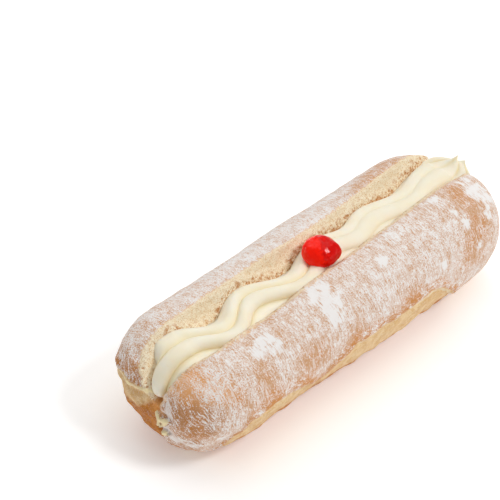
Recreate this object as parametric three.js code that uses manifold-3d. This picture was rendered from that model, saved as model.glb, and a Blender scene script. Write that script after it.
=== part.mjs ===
// A long cream doughnut: a fried yeast finger bun split along its top,
// a wavy star-piped rope of cream filling the split, and a drop of jam on the cream.
// Millimetres, +Z up, the bun lies along X and rests on the flattened spot under it.

import * as THREE from "three";
import { mergeVertices } from "three/addons/utils/BufferGeometryUtils.js";
import Module from "manifold-3d";

// Bun
const BUN_LENGTH = 190;
const BUN_WIDTH = 68;
const BUN_HEIGHT = 52;
const BUN_RISE = 1.4; // it stands a little higher toward its last end
const BUN_SHIFT = -1.2; // the bun reaches further beyond the first end of the cream
const BUN_WIDEST = 28; // height of the line where the bun is widest
const BUN_BASE_PRESS = 1.6; // how far the round underside is pressed flat by its own weight
const TOP_FULLNESS = 2.4; // power of the section above the widest line, 2 is an ellipse
const BASE_FULLNESS = 1.95; // and below it
const END_LENGTH = 28; // length of the rounded stretch at each end
const FIRST_END_BLUNTNESS = 0.62; // below 1 the ends are blunter than round, seen from above
const LAST_END_BLUNTNESS = 0.5;
const FIRST_END_DOMING = [0.56, 0.78]; // the same seen from the side, front half and back half
const LAST_END_DOMING = [0.42, 0.5];
const CLEFT_DEPTH = 3; // the ends are drawn in between the two halves
const CLEFT_HALF = 6;
const LIP_ROLL = 2.6; // how far the crust rolls down toward the split
const LIP_ROLL_HALF = 15;
const WAIST_HEIGHT = 18; // middle of the pale band that stayed above the frying fat
const WAIST_HALF = 5;
const WAIST_DEPTH = 1.3;
const BASE_LEAN = 0.034; // the lower front stands out further toward the last end
const BASE_LEAN_HEIGHT = 14;
const BASE_LEAN_HALF = 9;
const SWELL = 0.3; // unevenness of the hand-shaped dough
const SWELL_LENGTHS = [21, 11.5]; // its slow and its quick swing, along the bun

// Split along the top of the bun
const SPLIT_FLOOR = 27;
const SPLIT_LIP = 48.5; // height of the lips
const SPLIT_HALF_FLOOR = 1.8; // half of the width at the floor
const SPLIT_HALF_LIP = 12.3; // half of the width between the lips
const SPLIT_TAPER = 0.009; // the split narrows along the bun
const SPLIT_SPLAY_BACK = 4; // its back wall opens out at both ends
const SPLIT_SPLAY_BACK_FROM = 66; // from this station
const SPLIT_SPLAY_FRONT = 3; // its front wall only at the last end
const SPLIT_SPLAY_FRONT_FROM = 72;
const SPLIT_SPLAY_TO = 94;
const SPLIT_BULGE = 2.8; // the back half bulges over the split
const SPLIT_BULGE_AT = 18; // around this station
const SPLIT_BULGE_HALF = 34;
const SPLIT_PINCH = 3.6; // the front wall closes in at the first end
const SPLIT_PINCH_FROM = 60;
const SPLIT_PINCH_TO = 90;
const SPLIT_OFFSET = 1.6; // the cut lies a little off the middle
const SPLIT_SKEW = 0.04; // and turns a little away from the bun's axis
const GAP = 0.3; // clearance between neighbouring pieces

// Rope of cream
const ROPE_FROM = -77.5; // the even stretch of the rope, before its two ends
const ROPE_TO = 81;
const ROPE_HALF_WIDTH = 13;
const ROPE_HALF_WIDTH_CALM = 12.2; // in the calmer second half
const ROPE_HALF_HEIGHT = 10;
const ROPE_HEIGHT = 38; // height of its middle
const ROPE_OFFSET = -1.6; // from the middle of the split
const ROPE_OFFSET_CALM = -2.2;
const ROPE_NARROW = 2; // its back side is drawn in by this much
const ROPE_NARROW_AT = -24; // around this station
const ROPE_NARROW_HALF = 34;
const ROPE_RIDGES = 8; // points of the star nozzle
const ROPE_FIRST_GROOVE = THREE.MathUtils.degToRad(7.5); // from straight up, toward the back wall
const ROPE_GROOVE = 0.23; // depth of the grooves as a share of the radius
const ROPE_ROUNDNESS = 0.75; // below 1 the ridges are rounder and the grooves between them narrower
const ROPE_SPREAD = [0.2, 0.8]; // leans between which the grooves fade toward the back wall
const ROPE_SPREAD_BACK = [-Math.PI, -1.6]; // and come back on the other side
const ROPE_CALM = 0.5; // share of the groove depth left in the calmer second half
const WAVE_CRESTS = [-76.5, -39.5, 7.6, 34, 79]; // stations where it swings furthest to the back
const WAVE_DEPTHS = [4.4, 4.4, 1.5, 2.4]; // half of its way to the front and back again between them
const WAVE_WIDE = 4.4; // how far to the back a crest lies in the first half
const WAVE_NARROW = 2.4; // and in the calmer second half
const WAVE_CHANGE = 5; // station where one passes into the other
const WAVE_CHANGE_HALF = 14;
const START_BEND = 6.4; // radius of the bend where the first end hangs down over the bun's end
const START_PITCH = THREE.MathUtils.degToRad(108);
const START_FULLNESS = 9; // the higher, the blunter its end
const START_FLAT = 0.35; // share of its underside that is left, as it is pressed in
const START_GROOVE = 0.1; // its grooves are deeper by this much
const START_SWING = 1.8; // it swings toward the back wall
const START_TWIST = THREE.MathUtils.degToRad(16); // and its ridges turn that way
const START_SWELL = 1.3; // the ridge beside the back wall is fuller there
const START_SWELL_LENGTH = 12;
const START_TUCK = 0.5; // the ridge beside the back wall stops short, and shrinks by this share
const START_TUCK_BEND = [0.15, 0.6]; // shares of the bend between which it shrinks
const START_TUCK_EDGE = 0.2; // lean over which that passes into the next ridge
const TIP_BEND = 10; // radius of the bend where the nozzle was drawn up and away
const TIP_PITCH = THREE.MathUtils.degToRad(80);
const TIP_FULLNESS = 0.45; // below 1 the tip is blunter than round
const TIP_WIDEN = 0.32; // it spreads as the nozzle stops
const TIP_EASE = 0.4; // this share of the spread comes over the last stretch of the rope
const TIP_EASE_LENGTH = 15;
const TIP_FLAT = 0.5; // share of its underside that is left over the end of the bun
const TIP_SWING = 4; // it was drawn toward the front
const TIP_DRAW = 1.2; // length of the point drawn up at the very end
const TIP_GROOVE = 0.14; // the grooves deepen toward the tip
const TIP_LIFT = 1.7; // the ridge at the back stands up beside the point
const TIP_LIFT_LEAN = THREE.MathUtils.degToRad(75);
const TIP_LIFT_HALF = 0.4;
const FILL_TOP = 36; // the split is full of cream to this height under the rope
const FILL_FROM = -84; // and between these stations
const FILL_TO = 88;
const FILL_RISE = 4.5; // it is squeezed up higher beside the rope
const FILL_RISE_FIRST = [-76, -62]; // from the first of these stations, fully from the second
const FILL_RISE_LAST = [80, 66]; // and the same from the last end

// Small peaks the nozzle left on the tip
const PEAKS = [
  { foot: [86.7, 3.8, 44], height: 9, radius: 6 },
  { foot: [89.4, -0.4, 44.2], height: 6, radius: 4.6 },
];
const PEAK_LEAN = [0.45, -0.48]; // they lean the way the nozzle went
const PEAK_FLARE = 1.8; // above 1 they draw in quickly to a thin point

// Drop of jam
const JAM_X = -1;
const JAM_Y = -1;
const JAM_RADIUS = 7.8;
const JAM_TOP = 55.7;
const JAM_MIDDLE = 49.6;
const JAM_BOTTOM = 43.5;
const JAM_CORNER = 0.1; // the spoon left it with a corner, this much further out
const JAM_CORNER_TURN = THREE.MathUtils.degToRad(-46);
const JAM_CORNER_HALF = 0.28;
const JAM_FLAT = 0.04; // and flatter on both sides of it

// Fineness of the surfaces
const BUN_ROUND = 48;
const BUN_ALONG = 40;
const BUN_CAP = 8;
const SPLIT_ALONG = 24;
const SPLIT_DOWN = 5;
const ROPE_ROUND = 6 * ROPE_RIDGES;
const ROPE_ALONG = 64;
const ROPE_CAP = 9;
const FILL_ALONG = 24;
const PEAK_ROUND = 12;
const PEAK_STEPS = 5;
const JAM_ROUND = 26;
const JAM_RINGS = 12;

const wasm = await Module();
wasm.setup();

const signedPower = (value, power) => Math.sign(value) * Math.abs(value) ** power;
const bell = (value) => Math.exp(-value * value);
const blend = (from, to, share) => from + (to - from) * share;
const smooth = (value, start, end) => THREE.MathUtils.smoothstep(value, start, end);

// Moves every vertex of a geometry to where a function of its position puts it.
function reshape(geometry, place) {
  const position = geometry.getAttribute("position");
  const point = new THREE.Vector3();
  for (let i = 0; i < position.count; i += 1) {
    point.fromBufferAttribute(position, i);
    const [x, y, z] = place(point);
    position.setXYZ(i, x, y, z);
  }
  return geometry;
}

// Turns a closed geometry into a solid; triangles that close up at a pole are left out.
function solidFrom(geometry) {
  geometry.deleteAttribute("normal");
  geometry.deleteAttribute("uv");
  const merged = mergeVertices(geometry, 1e-4);
  const index = merged.index.array;
  const kept = [];
  for (let i = 0; i < index.length; i += 3) {
    const [a, b, c] = [index[i], index[i + 1], index[i + 2]];
    if (a !== b && b !== c && c !== a) kept.push(a, b, c);
  }
  return new wasm.Manifold(new wasm.Mesh({
    numProp: 3,
    vertProperties: merged.getAttribute("position").array,
    triVerts: new Uint32Array(kept),
  }));
}

function meshFrom(solid, name, material) {
  const { vertProperties, triVerts } = solid.getMesh();
  const geometry = new THREE.BufferGeometry();
  geometry.setAttribute("position", new THREE.BufferAttribute(vertProperties, 3));
  geometry.setIndex(new THREE.BufferAttribute(triVerts, 1));
  geometry.computeVertexNormals();
  const mesh = new THREE.Mesh(geometry, material);
  mesh.name = name;
  return mesh;
}

// Slow unevenness of the dough along the bun and around it.
function swell(x, turn) {
  const [slow, quick] = SWELL_LENGTHS;
  const along = Math.sin(x / slow + 0.6) + 0.7 * Math.sin(x / quick + 2 * turn);
  return SWELL * along * Math.cos(turn - 0.4);
}

// Whole bun before it is split.
function bunSolid() {
  const straight = BUN_LENGTH - 2 * END_LENGTH;
  const geometry = new THREE.CapsuleGeometry(END_LENGTH, straight, BUN_CAP, BUN_ROUND, BUN_ALONG);
  geometry.rotateZ(-Math.PI / 2);
  return solidFrom(reshape(geometry, (point) => {
    const reach = Math.hypot(point.y, point.z) / END_LENGTH;
    const turn = Math.atan2(point.z, point.y);
    const top = point.z > 0;
    const wide = reach ** (point.x < 0 ? FIRST_END_BLUNTNESS : LAST_END_BLUNTNESS);
    const doming = point.x < 0 ? FIRST_END_DOMING : LAST_END_DOMING;
    const tall = reach ** blend(...doming, smooth(Math.cos(turn), -0.4, 0.4));
    const power = 2 / (top ? TOP_FULLNESS : BASE_FULLNESS);
    const height = BUN_HEIGHT + (BUN_RISE * point.x) / (BUN_LENGTH / 2);
    const rise = top ? height - BUN_WIDEST : BUN_WIDEST + BUN_BASE_PRESS;
    let y = wide * (BUN_WIDTH / 2) * signedPower(Math.cos(turn), power);
    let z = BUN_WIDEST + tall * rise * signedPower(Math.sin(turn), power);
    y += wide * swell(point.x, turn);
    if (top) z -= tall * LIP_ROLL * bell(y / LIP_ROLL_HALF);
    y -= Math.sign(y) * wide * WAIST_DEPTH * bell((z - WAIST_HEIGHT) / WAIST_HALF);
    if (y < 0) y -= wide * BASE_LEAN * point.x * bell((z - BASE_LEAN_HEIGHT) / BASE_LEAN_HALF);
    const cleft = CLEFT_DEPTH * (1 - reach) * bell((y - splitMiddle(point.x)) / CLEFT_HALF);
    return [BUN_SHIFT + point.x - Math.sign(point.x) * cleft, y, Math.max(z, 0)];
  }));
}

// Sideways place of the split's middle.
function splitMiddle(x) {
  return SPLIT_OFFSET + SPLIT_SKEW * x;
}

// Sideways place of a wall of the split, `side` is 1 for the back wall and -1 for the front wall.
function splitWall(x, z, side) {
  const share = Math.max(0, (z - SPLIT_FLOOR) / (SPLIT_LIP - SPLIT_FLOOR));
  const splay = side > 0
    ? SPLIT_SPLAY_BACK * smooth(Math.abs(x), SPLIT_SPLAY_BACK_FROM, SPLIT_SPLAY_TO)
    : SPLIT_SPLAY_FRONT * smooth(x, SPLIT_SPLAY_FRONT_FROM, SPLIT_SPLAY_TO);
  const closing = side > 0
    ? SPLIT_BULGE * bell((x - SPLIT_BULGE_AT) / SPLIT_BULGE_HALF)
    : SPLIT_PINCH * smooth(-x, SPLIT_PINCH_FROM, SPLIT_PINCH_TO);
  const lip = SPLIT_HALF_LIP - SPLIT_TAPER * x + splay - closing;
  return splitMiddle(x) + side * blend(SPLIT_HALF_FLOOR, lip, share);
}

// The wedge-shaped space of the split, `inset` from its walls and open well above the bun.
function splitSolid(inset) {
  const top = BUN_HEIGHT + 12;
  const geometry = new THREE.BoxGeometry(BUN_LENGTH * 1.2, 2, 1, SPLIT_ALONG, 1, SPLIT_DOWN);
  return solidFrom(reshape(geometry, (point) => {
    const side = Math.sign(point.y);
    const z = blend(SPLIT_FLOOR + inset, top, point.z + 0.5);
    return [point.x, splitWall(point.x, z, side) - side * inset, z];
  }));
}

// Share of the calm second half at a station, from 0 to 1.
function calmness(x) {
  return smooth(x, WAVE_CHANGE - WAVE_CHANGE_HALF, WAVE_CHANGE + WAVE_CHANGE_HALF);
}

// Middle of the rope at a station. Between two crests it swings to the front and back again.
function ropeMiddle(x) {
  const calm = calmness(x);
  const offset = blend(ROPE_OFFSET, ROPE_OFFSET_CALM, calm);
  const passed = WAVE_CRESTS.filter((crest) => crest <= x).length - 1;
  const stretch = THREE.MathUtils.clamp(passed, 0, WAVE_DEPTHS.length - 1);
  const [from, to] = WAVE_CRESTS.slice(stretch, stretch + 2);
  const phase = (2 * Math.PI * (x - from)) / (to - from);
  const swing = blend(WAVE_WIDE, WAVE_NARROW, calm) - WAVE_DEPTHS[stretch] * (1 - Math.cos(phase));
  return new THREE.Vector3(x, splitMiddle(x) + offset + swing, ROPE_HEIGHT);
}

// The piped rope, `grow` larger all round: an even stretch with a drooping first end
// and a last end that bends up to a point.
function ropeSolid(grow = 0) {
  const geometry = new THREE.CapsuleGeometry(1, 1, ROPE_CAP, ROPE_ROUND, ROPE_ALONG);
  geometry.rotateZ(-Math.PI / 2);
  return solidFrom(reshape(geometry, (point) => {
    const lean = Math.atan2(point.y, point.z);
    const reach = Math.min(1, Math.hypot(point.y, point.z));
    const beyond = Math.abs(point.x) - 0.5;
    const middle = ropeMiddle(blend(ROPE_FROM, ROPE_TO, THREE.MathUtils.clamp(point.x + 0.5, 0, 1)));
    let pitch = 0;
    let turn = lean;
    let under = 1;
    let lift = 0;
    let nearTip = TIP_EASE * smooth(middle.x, ROPE_TO - TIP_EASE_LENGTH, ROPE_TO);
    let radius = reach;
    const calm = calmness(middle.x);
    let halfWidth = blend(ROPE_HALF_WIDTH, ROPE_HALF_WIDTH_CALM, calm);
    if (lean > 0) {
      halfWidth -= ROPE_NARROW * bell((middle.x - ROPE_NARROW_AT) / ROPE_NARROW_HALF);
      halfWidth += START_SWELL * bell((middle.x - ROPE_FROM) / START_SWELL_LENGTH);
    }
    let depth = ROPE_GROOVE * blend(1, ROPE_CALM, calm);
    if (beyond > 0 && point.x < 0) {
      const bent = Math.acos(reach) / (Math.PI / 2);
      pitch = START_PITCH * bent;
      middle.x -= START_BEND * Math.sin(pitch);
      middle.y = ropeMiddle(ROPE_FROM - START_BEND * bent).y + START_SWING * bent;
      middle.z -= START_BEND * (1 - Math.cos(pitch));
      const besideWall = smooth(lean, ROPE_FIRST_GROOVE, ROPE_FIRST_GROOVE + START_TUCK_EDGE);
      radius = Math.sqrt(Math.max(0, 1 - bent ** START_FULLNESS));
      radius *= 1 - START_TUCK * smooth(bent, ...START_TUCK_BEND) * besideWall;
      under = blend(1, START_FLAT, bent);
      turn += START_TWIST * bent;
      depth += START_GROOVE * bent;
    }
    if (beyond > 0 && point.x > 0) {
      pitch = (TIP_PITCH * Math.acos(reach)) / (Math.PI / 2);
      middle.x += TIP_BEND * Math.sin(pitch);
      nearTip += (1 - TIP_EASE) * (1 - reach);
      middle.z += TIP_BEND * (1 - Math.cos(pitch)) + TIP_DRAW * (1 - reach);
      radius = reach ** TIP_FULLNESS;
      under = blend(TIP_FLAT, 1, reach);
      lift = TIP_LIFT * bell((lean - TIP_LIFT_LEAN) / TIP_LIFT_HALF) * 4 * reach * (1 - reach);
      depth += TIP_GROOVE * (1 - reach);
    }
    middle.y -= TIP_SWING * nearTip;
    halfWidth *= 1 + TIP_WIDEN * nearTip;
    const ridge = Math.abs(Math.sin((ROPE_RIDGES / 2) * (lean - ROPE_FIRST_GROOVE))) ** ROPE_ROUNDNESS;
    depth *= 1 - (1 - calm) * smooth(lean, ...ROPE_SPREAD) * smooth(-lean, ...ROPE_SPREAD_BACK);
    radius *= (1 + grow / ROPE_HALF_HEIGHT) * (1 - depth * (1 - ridge));
    const up = radius * ROPE_HALF_HEIGHT * Math.cos(turn) * (Math.cos(turn) > 0 ? 1 : under);
    return [
      middle.x - up * Math.sin(pitch),
      middle.y + radius * halfWidth * Math.sin(turn),
      middle.z + up * Math.cos(pitch) + lift,
    ];
  }));
}

// A small leaning cone drawn up from the tip.
function peakSolid({ foot, height, radius }) {
  const geometry = new THREE.ConeGeometry(radius, height, PEAK_ROUND, PEAK_STEPS);
  geometry.rotateX(Math.PI / 2);
  return solidFrom(reshape(geometry, (point) => {
    const up = point.z + height / 2;
    const draw = Math.max(0, 1 - up / height) ** (PEAK_FLARE - 1);
    return [
      foot[0] + point.x * draw + PEAK_LEAN[0] * up,
      foot[1] + point.y * draw + PEAK_LEAN[1] * up,
      foot[2] + up,
    ];
  }));
}

// The drop of jam before the cream under it is taken away.
function jamSolid() {
  const geometry = new THREE.SphereGeometry(1, JAM_ROUND, JAM_RINGS);
  geometry.rotateX(Math.PI / 2);
  return solidFrom(reshape(geometry, (point) => {
    const away = 2 * Math.sin((Math.atan2(point.y, point.x) - JAM_CORNER_TURN) / 2);
    const bulge = 1 + JAM_CORNER * bell(away / JAM_CORNER_HALF) - JAM_FLAT * bell(away);
    const height = point.z > 0 ? JAM_TOP - JAM_MIDDLE : JAM_MIDDLE - JAM_BOTTOM;
    return [
      JAM_X + JAM_RADIUS * bulge * point.x,
      JAM_Y + JAM_RADIUS * bulge * point.y,
      JAM_MIDDLE + height * point.z,
    ];
  }));
}

// The cream that fills the split under the rope, before the walls trim it.
function fillSolid() {
  const block = new THREE.BoxGeometry(FILL_TO - FILL_FROM, BUN_WIDTH, 1, FILL_ALONG);
  block.translate((FILL_FROM + FILL_TO) / 2, 0, 0.5);
  return solidFrom(reshape(block, ({ x, y, z }) => {
    const squeezed = smooth(x, ...FILL_RISE_FIRST) * smooth(-x, ...FILL_RISE_LAST.map((end) => -end));
    return [x, y, z * (FILL_TOP + FILL_RISE * squeezed)];
  }));
}

const bun = bunSolid().subtract(splitSolid(0));
const peaks = PEAKS.map(peakSolid);
const piped = peaks.reduce((sum, peak) => sum.add(peak), ropeSolid());
const cream = piped.add(fillSolid()).intersect(splitSolid(GAP));
const jam = jamSolid().subtract(ropeSolid(GAP));

const doughnut = new THREE.Group();
doughnut.name = "cream_doughnut";
doughnut.add(
  meshFrom(bun, "bun", new THREE.MeshStandardMaterial({ color: 0xc8966a, roughness: 0.8, metalness: 0 })),
  meshFrom(cream, "cream", new THREE.MeshStandardMaterial({ color: 0xf6ecc8, roughness: 0.5, metalness: 0 })),
  meshFrom(jam, "jam", new THREE.MeshStandardMaterial({ color: 0xc8140c, roughness: 0.15, metalness: 0 })),
);

// The middle of the whole is set over the origin.
const extent = new THREE.Box3().setFromObject(doughnut);
const middle = extent.getCenter(new THREE.Vector3());
doughnut.position.set(-middle.x, -middle.y, -extent.min.z);

export default doughnut;
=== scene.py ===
import math

import bmesh
import bpy
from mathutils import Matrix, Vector, noise


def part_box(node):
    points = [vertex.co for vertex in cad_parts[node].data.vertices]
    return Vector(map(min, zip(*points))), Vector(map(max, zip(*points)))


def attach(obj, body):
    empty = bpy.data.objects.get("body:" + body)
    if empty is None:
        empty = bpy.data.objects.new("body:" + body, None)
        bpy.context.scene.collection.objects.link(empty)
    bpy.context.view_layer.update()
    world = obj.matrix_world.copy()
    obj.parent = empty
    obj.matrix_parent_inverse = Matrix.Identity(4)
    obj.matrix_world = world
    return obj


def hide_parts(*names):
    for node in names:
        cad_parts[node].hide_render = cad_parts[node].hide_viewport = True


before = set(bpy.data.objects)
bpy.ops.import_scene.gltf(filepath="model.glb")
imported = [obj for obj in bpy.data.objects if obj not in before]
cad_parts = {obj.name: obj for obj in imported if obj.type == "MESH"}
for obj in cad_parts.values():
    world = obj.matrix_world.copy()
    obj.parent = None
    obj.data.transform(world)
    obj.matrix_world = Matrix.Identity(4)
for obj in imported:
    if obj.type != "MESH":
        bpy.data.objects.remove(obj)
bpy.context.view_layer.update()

# Bun
# A finger of yeast dough, fried on its base and then on its top, and split along the top with a knife.
# The fat browned the base and the top; the band between them floated clear of it and stayed pale.
# Icing sugar was sifted over the crust and rubbed into fine streaks by the hands that filled it.

MM = 0.001
BUN_SHIFT = -1.2 * MM  # middle of the bun, from the station that the lengths below are counted from
SPLIT_FLOOR = 27 * MM
SPLIT_LIP = 48.5 * MM
SPLIT_HALF_FLOOR = 1.8 * MM
SPLIT_HALF_LIP = 12.3 * MM
SPLIT_TAPER = 0.009
SPLIT_OFFSET = 1.6 * MM
SPLIT_SKEW = 0.04
SPLAY_BACK = 4 * MM  # toward the ends the walls open by this much, between these distances from the middle
SPLAY_BACK_OVER = (66 * MM, 94 * MM)
SPLAY_FRONT = 3 * MM
SPLAY_FRONT_OVER = (72 * MM, 94 * MM)
SPLIT_BULGE = 2.8 * MM  # the back half bulges over the middle of the split
BULGE_AT = 18 * MM
BULGE_LENGTH = 34 * MM
SPLIT_PINCH = 3.6 * MM  # the front wall closes in at the first end
PINCH_OVER = (60 * MM, 90 * MM)


def smooth(value, start, end):
    """0 before start, 1 after end and smooth between them."""
    share = min(max((value - start) / (end - start), 0.0), 1.0)
    return share * share * (3 - 2 * share)


def bell(value):
    return math.exp(-value * value)


def blend(start, end, share):
    return start + (end - start) * share


bun_low, bun_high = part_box("bun")
MIDDLE_X = (bun_low.x + bun_high.x) / 2 - BUN_SHIFT


def split_middle(x):
    return SPLIT_OFFSET + SPLIT_SKEW * (x - MIDDLE_X)


def split_wall(x, z, side):
    """Sideways place of a wall of the split: side is 1 for the back wall and -1 for the front wall."""
    station = x - MIDDLE_X
    share = max(0.0, (z - SPLIT_FLOOR) / (SPLIT_LIP - SPLIT_FLOOR))
    if side > 0:
        splay = SPLAY_BACK * smooth(abs(station), *SPLAY_BACK_OVER)
        splay -= SPLIT_BULGE * bell((station - BULGE_AT) / BULGE_LENGTH)
    else:
        splay = SPLAY_FRONT * smooth(station, *SPLAY_FRONT_OVER)
        splay -= SPLIT_PINCH * smooth(-station, *PINCH_OVER)
    lip = SPLIT_HALF_LIP - SPLIT_TAPER * station + splay
    return split_middle(x) + side * blend(SPLIT_HALF_FLOOR, lip, share)


def from_wall(point):
    """Distance of a point of the bun from the nearer wall of the split."""
    if point.z < SPLIT_FLOOR:
        return math.hypot(point.y - split_middle(point.x), point.z - SPLIT_FLOOR)
    side = 1 if point.y > split_middle(point.x) else -1
    return side * (point.y - split_wall(point.x, point.z, side))


BAND_TOP = 28 * MM  # lower edge of the top crust
BAND_BOTTOM = 12 * MM  # upper edge of the browned base
BAND_LEAST = 2 * MM
HALVES_MEET = (-6 * MM, 0)  # across this the looks of the front half turn into those of the back half
FIRST_END_TOP = (4 * MM, 33 * MM)  # the band at the first end, on the front half and the back half
FIRST_END_BOTTOM = (2 * MM, 22 * MM)
FIRST_END_FROM = (-72 * MM, -84 * MM)  # where each half begins to turn to these heights
FIRST_END_TO = (-84 * MM, -92 * MM)  # and where it has them
LAST_END_TOP = 8 * MM  # toward the last end the crust reaches further down the front
LAST_END_OVER = (36 * MM, 62 * MM)
BAND_DIP = 8 * MM  # in one place the crust hangs down over the band
BAND_DIP_X = -33 * MM
BAND_DIP_LENGTH = 9 * MM
BASE_CLIMB = 6 * MM  # beside the fold the browned base reaches up by this much
BASE_CLIMB_OVER = (10 * MM, 0)


def band_heights(point):
    """Heights of the upper and the lower edge of the pale band at a point."""
    half = smooth(point.y, *HALVES_MEET)
    first_end = smooth(point.x, blend(*FIRST_END_FROM, half), blend(*FIRST_END_TO, half))
    last_end = smooth(point.x, *LAST_END_OVER) * (1 - half)
    side_top = blend(BAND_TOP, LAST_END_TOP, last_end)
    side_top -= BAND_DIP * bell((point.x - BAND_DIP_X) / BAND_DIP_LENGTH) * (1 - half)
    top = blend(side_top, blend(*FIRST_END_TOP, half), first_end)
    bottom = blend(BAND_BOTTOM, blend(*FIRST_END_BOTTOM, half), first_end)
    bottom += BASE_CLIMB * smooth(point.y, *BASE_CLIMB_OVER) * half * first_end
    return top, min(bottom, top - BAND_LEAST)


ROPE_HALF_WIDTH = 13 * MM
ROPE_HALF_WIDTH_CALM = 12.2 * MM  # in the calmer second half of the cream
ROPE_HALF_HEIGHT = 10 * MM
ROPE_HEIGHT = 38 * MM
ROPE_OFFSET = -1.6 * MM
ROPE_OFFSET_CALM = -2.2 * MM
WAVE_CRESTS = [-76.5 * MM, -39.5 * MM, 7.6 * MM, 34 * MM, 79 * MM]  # where it swings furthest to the back
WAVE_DEPTHS = [4.4 * MM, 4.4 * MM, 1.5 * MM, 2.4 * MM]  # half of its way to the front between them
WAVE_WIDE = 4.4 * MM
WAVE_NARROW = 2.4 * MM
WAVE_CHANGE = (-9 * MM, 19 * MM)  # it grows calmer over this stretch


def calmness(station):
    return smooth(station, *WAVE_CHANGE)


def swing_stretch(station):
    """Which stretch between two crests a station lies in, and how much the rope has left the crests there,
    from 0 at a crest to 1 halfway to the next."""
    passed = sum(crest <= station for crest in WAVE_CRESTS) - 1
    stretch = min(max(passed, 0), len(WAVE_DEPTHS) - 1)
    start, end = WAVE_CRESTS[stretch:stretch + 2]
    return stretch, 0.5 - 0.5 * math.cos(2 * math.pi * (station - start) / (end - start))


def rope_middle(station):
    """Middle of the piped rope of cream at a station along the bun."""
    calm = calmness(station)
    stretch, away = swing_stretch(station)
    swing = blend(WAVE_WIDE, WAVE_NARROW, calm) - 2 * WAVE_DEPTHS[stretch] * away
    x = station + MIDDLE_X
    return Vector((x, split_middle(x) + blend(ROPE_OFFSET, ROPE_OFFSET_CALM, calm) + swing, ROPE_HEIGHT))


def from_cream(point):
    """1 on the surface of the rope of cream, more above and beside it."""
    middle = rope_middle(point.x - MIDDLE_X)
    return math.hypot((point.y - middle.y) / ROPE_HALF_WIDTH, (point.z - middle.z) / ROPE_HALF_HEIGHT)


def ripple(point, size, octaves=2):
    """Soft noise between about -1 and 1, with features of that size."""
    return noise.fractal(point / size, 1.0, 2.0, octaves)


def lumps(point, height, size):
    """Height of finer noise at a point, with features of that size."""
    return height * ripple(point, size, 3)


WALL_RAGGED = 0.35 * MM  # the edge between crust and crumb wanders by this much
WALL_RAGGED_SIZE = 3 * MM
FRONT_ROLL = 0.8 * MM  # the crust of the front half rolls further down into the split
FRONT_ROLL_WIDTH = 2 * MM


def ragged_wall(point):
    """Distance from the nearer wall, as the ragged edge of the crust follows it."""
    middle = split_middle(point.x)
    roll = FRONT_ROLL * smooth(point.y, middle, middle - FRONT_ROLL_WIDTH)
    return from_wall(point) + WALL_RAGGED * ripple(point, WALL_RAGGED_SIZE) + roll


TORN_END = (-86 * MM, -90 * MM)  # from here on the first end tore when it was filled
RIM_FROM = (-1 * MM, 2 * MM)  # there the rim of the back half's crust runs between these places
RIM_TO = (23 * MM, 17 * MM)
RIM_LEDGE = 1.3 * MM  # and under it a torn ledge stands out
LEDGE_LEVEL = -1.4 * MM
LEDGE_HALF = 1.1 * MM
LEDGE_BREAKS = 3 * MM
LEDGE_BROKEN = (-0.9, 0.5)


def rim_share(point):
    """1 along the rim of the back half's crust at the first end."""
    return smooth(point.x, *TORN_END) * smooth(point.y, *RIM_FROM) * smooth(point.y, *RIM_TO)


def ledge_share(point, level):
    """1 on the torn ledge under that rim."""
    along = bell((level - LEDGE_LEVEL) / LEDGE_HALF)
    return rim_share(point) * along * smooth(ripple(point, LEDGE_BREAKS, 3), *LEDGE_BROKEN)


DOUGH_LUMPS = (0.42 * MM, 14 * MM)  # height and size of the lumps
END_LUMPS = (0.7 * MM, 7 * MM)  # the torn first end is lumpier
END_LUMPS_OVER = (-82 * MM, -92 * MM)
BAND_LUMPS = (0.8 * MM, 9 * MM)  # and so is the soft band
BAND_LUMPS_OVER = (1 * MM, -2 * MM)
CRUST_WRINKLE = 0.07 * MM
WRINKLE_SIZES = (1.8 * MM, 10 * MM, 10 * MM)
WRINKLE_OVER = (-1 * MM, 2 * MM)
CRUST_EDGE = 0.8 * MM  # the crust stands out over the band by this much
EDGE_LEVEL = 0.8 * MM
EDGE_HALF = 1.8 * MM
CREASE_LEVEL = -2.2 * MM  # and a crease runs below its edge
CREASE_HALF = 1.1 * MM
CREASE_DROP = 2 * MM  # which lies lower below the torn ledge


def crust_relief(point, level):
    """Height of the lumps, the wrinkles and the edge of the crust over the plain dough."""
    rim = rim_share(point)
    wrinkles = noise.noise(Vector([part / size for part, size in zip(point, WRINKLE_SIZES)]))
    relief = lumps(point, *DOUGH_LUMPS)
    relief += lumps(point, *END_LUMPS) * smooth(point.x, *END_LUMPS_OVER)
    relief += lumps(point, *BAND_LUMPS) * smooth(level, *BAND_LUMPS_OVER)
    relief += CRUST_WRINKLE * wrinkles * smooth(level, *WRINKLE_OVER)
    relief += CRUST_EDGE * (1 - rim) * bell((level - EDGE_LEVEL) / EDGE_HALF)
    return relief - CRUST_EDGE * bell((level - CREASE_LEVEL + CREASE_DROP * rim) / CREASE_HALF)


FOLD_Y = -2.6 * MM  # the two halves meet in a torn fold down the first end
FOLD_TOP = (33 * MM, 29 * MM)
FOLD_FOOT = (5 * MM, 12 * MM)
FOLD_WANDER = 0.9 * MM
FOLD_WANDER_SIZE = 4 * MM
FOLD_DEPTH = 2.4 * MM
FOLD_HALF = 1.3 * MM
FOLD_SWELL = 0.96 * MM  # the dough swells beside it
FOLD_SWELL_AT = -3 * MM
FOLD_SWELL_HALF = 1.8 * MM
FOLD_BROWN_HALF = 2.2 * MM  # its browned sides reach this far


def fold_place(point):
    """How much of the fold there is at the height of a point, and how far the point lies beside it."""
    fold = smooth(point.x, *TORN_END) * smooth(point.z, *FOLD_TOP) * smooth(point.z, *FOLD_FOOT)
    return fold, point.y - FOLD_Y - FOLD_WANDER * ripple(point, FOLD_WANDER_SIZE)


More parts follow.
